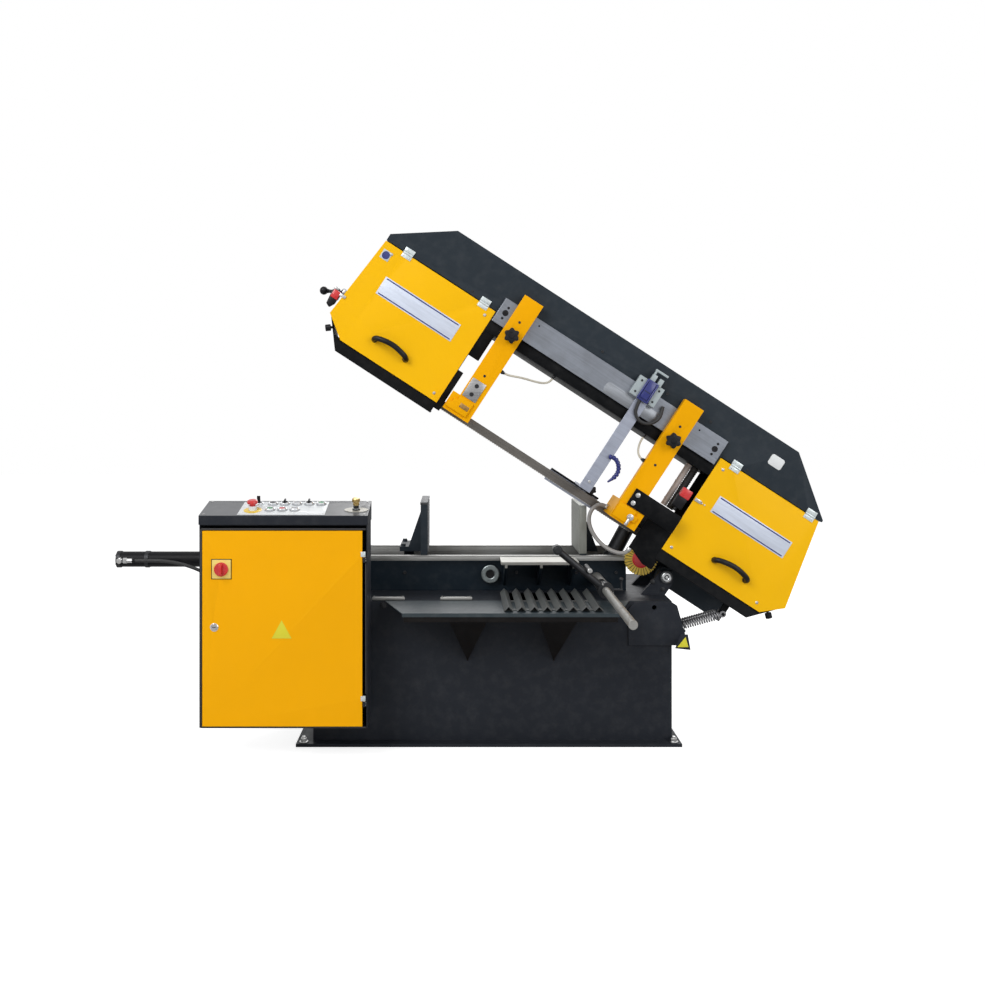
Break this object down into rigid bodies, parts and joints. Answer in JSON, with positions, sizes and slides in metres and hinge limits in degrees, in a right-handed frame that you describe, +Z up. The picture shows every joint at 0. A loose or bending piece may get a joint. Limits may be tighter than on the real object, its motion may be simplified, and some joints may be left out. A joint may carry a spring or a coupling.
{
  "type": "horizontal band saw",
  "caption": "Semi-automatic pivot band saw: sheet-steel base with hydraulic vise, control cabinet, chip tray and a raised hinged bow that carries the blade wheels and guides.",
  "frame": {"origin": "on the floor in the middle of the base's length, in the plane of the blade's cut", "axes": "+X along the base towards the bow's pivot, -Y towards the operator and the cabinet door, +Z up"},
  "size_m": [2.8367, 1.338, 1.9621],
  "materials": {
    "yellow_paint": "semi-gloss",
    "dark_paint": "satin",
    "base_paint": "satin",
    "grey_paint": "satin",
    "pale_paint": "satin",
    "machined_steel": "machined",
    "blade_steel": "rolled",
    "chrome_rod": "polished",
    "cast_wheel": "machined rim",
    "white_panel": "satin",
    "black_plastic": "matte",
    "red_plastic": "gloss",
    "green_plastic": "gloss",
    "grey_plastic": "gloss",
    "hose_rubber": "matte",
    "hose_cream": "matte",
    "brass": "satin",
    "spring_steel": "wire",
    "brush_wire": "wire",
    "bright_cap": "machined"
  },
  "bodies": {
    "base": {"base_frame": "base_paint", "chip_tray": "grey_paint", "grate": "grey_paint", "outfeed_table": "machined_steel", "vise_bed": "dark_paint", "fixed_jaw": "dark_paint", "vise_cylinder": "dark_paint", "vise_hose": "hose_rubber", "cabinet": "base_paint", "console_panel": "white_panel", "control_gear": "black_plastic", "fluid_units": "pale_paint", "stop_bar": "machined_steel", "pivot_shaft": "bright_cap", "return_springs": "spring_steel"},
    "vise_jaw": {"moving_jaw": "dark_paint", "vise_rod": "chrome_rod"},
    "door": {"cabinet_door": "yellow_paint"},
    "switch": {"main_switch": "red_plastic"},
    "lock": {"door_lock": "chrome_rod"},
    "estop": {"estop_button": "red_plastic"},
    "pilot": {"pilot_switch": "black_plastic"},
    "flow": {"flow_knob": "brass"},
    "stop": {"stop_carriage": "dark_paint"},
    "stop_clamp": {"stop_lever": "black_plastic"},
    "bow": {"bow_frame": "dark_paint", "housing_left": "dark_paint", "housing_right": "dark_paint", "rail_bar": "machined_steel", "blade": "blade_steel", "gearmotor": "dark_paint", "feeler_clamp": "pale_paint", "guide_hoses": "hose_cream", "bow_lines": "hose_rubber"},
    "left_cover": {"cover_left": "yellow_paint", "handle_left": "black_plastic"},
    "right_cover": {"cover_right": "yellow_paint", "handle_right": "black_plastic"},
    "left_latch": {"latch_left": "black_plastic"},
    "right_latch": {"latch_right": "black_plastic"},
    "left_arm": {"arm_left": "yellow_paint"},
    "right_arm": {"arm_right": "yellow_paint"},
    "left_knob": {"knob_left": "black_plastic"},
    "right_knob": {"knob_right": "black_plastic"},
    "drive": {"drive_wheel": "cast_wheel"},
    "idler_carriage": {"idler_slide": "machined_steel"},
    "idler": {"idler_wheel": "cast_wheel"},
    "tension": {"tension_lever": "chrome_rod"},
    "brush": {"chip_brush": "brush_wire"},
    "feeler": {"feeler_bar": "machined_steel"},
    "lift_piston": {"lift_rod": "chrome_rod"},
    "lift_tube": {"lift_barrel": "dark_paint"},
    "button_black_key": {"button_black": "black_plastic"},
    "selector_left_key": {"selector_left": "black_plastic"},
    "button_silver_rear_key": {"button_silver_rear": "grey_plastic"},
    "selector_right_key": {"selector_right": "black_plastic"},
    "button_green_rear_key": {"button_green_rear": "green_plastic"},
    "button_green_front_key": {"button_green_front": "green_plastic"},
    "button_red_key": {"button_red": "red_plastic"},
    "button_silver_front_key": {"button_silver_front": "grey_plastic"}
  },
  "joints": [
    {"name": "bow_lift", "type": "hinge", "parent": "base", "child": "bow", "pos_m": [0.704, 0, 0.609], "axis": [0, 1, 0], "range_deg": [-33, 5], "deforming": ["return_springs", "bow_lines"]},
    {"name": "vise_slide", "type": "slide", "parent": "base", "child": "vise_jaw", "axis": [1, 0, 0], "range_m": [0, 0.61]},
    {"name": "cabinet_door_hinge", "type": "hinge", "parent": "base", "child": "door", "pos_m": [-0.454, -0.43, 0.485], "axis": [0, 0, 1], "range_deg": [0, 115]},
    {"name": "main_switch_turn", "type": "hinge", "parent": "door", "child": "switch", "pos_m": [-0.966, -0.44, 0.699], "axis": [0, -1, 0], "range_deg": [0, 90]},
    {"name": "door_lock_turn", "type": "hinge", "parent": "door", "child": "lock", "pos_m": [-0.992, -0.435, 0.49], "axis": [0, -1, 0], "range_deg": [0, 90]},
    {"name": "button_black_press", "type": "slide", "parent": "base", "child": "button_black_key", "axis": [0, 0.2151, -0.9766], "range_m": [0, 0.003], "stiffness_N_per_m": 600, "springref_m": -0.001},
    {"name": "selector_left_turn", "type": "hinge", "parent": "base", "child": "selector_left_key", "pos_m": [-0.7573, -0.3089, 0.91767], "axis": [0, -0.2151, 0.9766], "range_deg": [-45, 45]},
    {"name": "button_silver_rear_press", "type": "slide", "parent": "base", "child": "button_silver_rear_key", "axis": [0, 0.2151, -0.9766], "range_m": [0, 0.003], "stiffness_N_per_m": 600, "springref_m": -0.001},
    {"name": "selector_right_turn", "type": "hinge", "parent": "base", "child": "selector_right_key", "pos_m": [-0.6679, -0.3089, 0.91767], "axis": [0, -0.2151, 0.9766], "range_deg": [-45, 45]},
    {"name": "button_green_rear_press", "type": "slide", "parent": "base", "child": "button_green_rear_key", "axis": [0, 0.2151, -0.9766], "range_m": [0, 0.003], "stiffness_N_per_m": 600, "springref_m": -0.001},
    {"name": "button_green_front_press", "type": "slide", "parent": "base", "child": "button_green_front_key", "axis": [0, 0.2151, -0.9766], "range_m": [0, 0.003], "stiffness_N_per_m": 600, "springref_m": -0.001},
    {"name": "button_red_press", "type": "slide", "parent": "base", "child": "button_red_key", "axis": [0, 0.2151, -0.9766], "range_m": [0, 0.003], "stiffness_N_per_m": 600, "springref_m": -0.001},
    {"name": "button_silver_front_press", "type": "slide", "parent": "base", "child": "button_silver_front_key", "axis": [0, 0.2151, -0.9766], "range_m": [0, 0.003], "stiffness_N_per_m": 600, "springref_m": -0.001},
    {"name": "estop_press", "type": "slide", "parent": "base", "child": "estop", "axis": [0, 0.2151, -0.9766], "range_m": [0, 0.005]},
    {"name": "pilot_turn", "type": "hinge", "parent": "base", "child": "pilot", "pos_m": [-0.854, -0.31085, 0.91724], "axis": [0, -0.2151, 0.9766], "range_deg": [0, 90]},
    {"name": "flow_turn", "type": "hinge", "parent": "base", "child": "flow", "pos_m": [-0.488, -0.36945, 0.90433], "axis": [0, -0.2151, 0.9766], "range_deg": [0, 270]},
    {"name": "stop_slide", "type": "slide", "parent": "base", "child": "stop", "axis": [0, 1, 0], "range_m": [-0.45, 0.03]},
    {"name": "stop_clamp_turn", "type": "hinge", "parent": "stop", "child": "stop_clamp", "pos_m": [0.49, -0.235, 0.589], "axis": [1, 0, 0], "range_deg": [-90, 60]},
    {"name": "left_cover_hinge", "type": "hinge", "parent": "bow", "child": "left_cover", "pos_m": [-0.18197, -0.135, 1.78769], "axis": [-0.8387, 0, 0.5446], "range_deg": [0, 100]},
    {"name": "right_cover_hinge", "type": "hinge", "parent": "bow", "child": "right_cover", "pos_m": [1.10539, -0.135, 0.95167], "axis": [-0.8387, 0, 0.5446], "range_deg": [0, 100]},
    {"name": "left_latch_turn", "type": "hinge", "parent": "bow", "child": "left_latch", "pos_m": [-0.60363, -0.116, 1.58934], "axis": [-0.9942, 0, -0.1071], "range_deg": [0, 90]},
    {"name": "right_latch_turn", "type": "hinge", "parent": "bow", "child": "right_latch", "pos_m": [1.0866, -0.116, 0.48538], "axis": [0.2576, 0, -0.9662], "range_deg": [0, 90]},
    {"name": "left_arm_slide", "type": "slide", "parent": "bow", "child": "left_arm", "axis": [0.8387, 0, -0.5446], "range_m": [0, 0.35], "deforming": ["guide_hoses"]},
    {"name": "right_arm_slide", "type": "slide", "parent": "bow", "child": "right_arm", "axis": [0.8387, 0, -0.5446], "range_m": [-0.04, 0]},
    {"name": "left_knob_turn", "type": "hinge", "parent": "left_arm", "child": "left_knob", "pos_m": [0.08743, -0.19, 1.55073], "axis": [0, 1, 0], "range_deg": [0, 270]},
    {"name": "right_knob_turn", "type": "hinge", "parent": "right_arm", "child": "right_knob", "pos_m": [0.70218, -0.19, 1.15151], "axis": [0, 1, 0], "range_deg": [0, 270]},
    {"name": "drive_spin", "type": "hinge", "parent": "bow", "child": "drive", "pos_m": [1.01685, 0, 0.74923], "axis": [0, 1, 0], "continuous": true},
    {"name": "tension_slide", "type": "slide", "parent": "bow", "child": "idler_carriage", "axis": [0.8387, 0, -0.5446], "range_m": [0, 0.0119]},
    {"name": "idler_spin", "type": "hinge", "parent": "idler_carriage", "child": "idler", "pos_m": [-0.33844, 0, 1.62937], "axis": [0, 1, 0], "continuous": true},
    {"name": "tension_turn", "type": "hinge", "parent": "bow", "child": "tension", "pos_m": [-0.58055, 0.055, 1.74129], "axis": [0.8387, 0, -0.5446], "range_deg": [0, 720]},
    {"name": "brush_spin", "type": "hinge", "parent": "bow", "child": "brush", "pos_m": [0.61476, 0, 0.67172], "axis": [0, 1, 0], "continuous": true},
    {"name": "feeler_rise", "type": "slide", "parent": "bow", "child": "feeler", "axis": [0.5446, 0, 0.8387], "range_m": [0, 0.03]},
    {"name": "lift_swing", "type": "hinge", "parent": "base", "child": "lift_piston", "pos_m": [0.311, 0.09, 0.3], "axis": [0, 1, 0], "range_deg": [-6.6, 1.2]},
    {"name": "lift_stroke", "type": "slide", "parent": "lift_piston", "child": "lift_tube", "axis": [0.4754, 0, 0.8798], "range_m": [-0.13, 0.021]}
  ],
  "couplings": [
    {"joint": "idler_spin", "follows": "drive_spin", "ratio": 1},
    {"joint": "tension_turn", "follows": "tension_slide", "rad_per_m": 1047.2},
    {"joint": "lift_swing", "follows": "bow_lift", "ratio": 0.19},
    {"joint": "lift_stroke", "follows": "bow_lift", "m_per_rad": 0.2206}
  ]
}
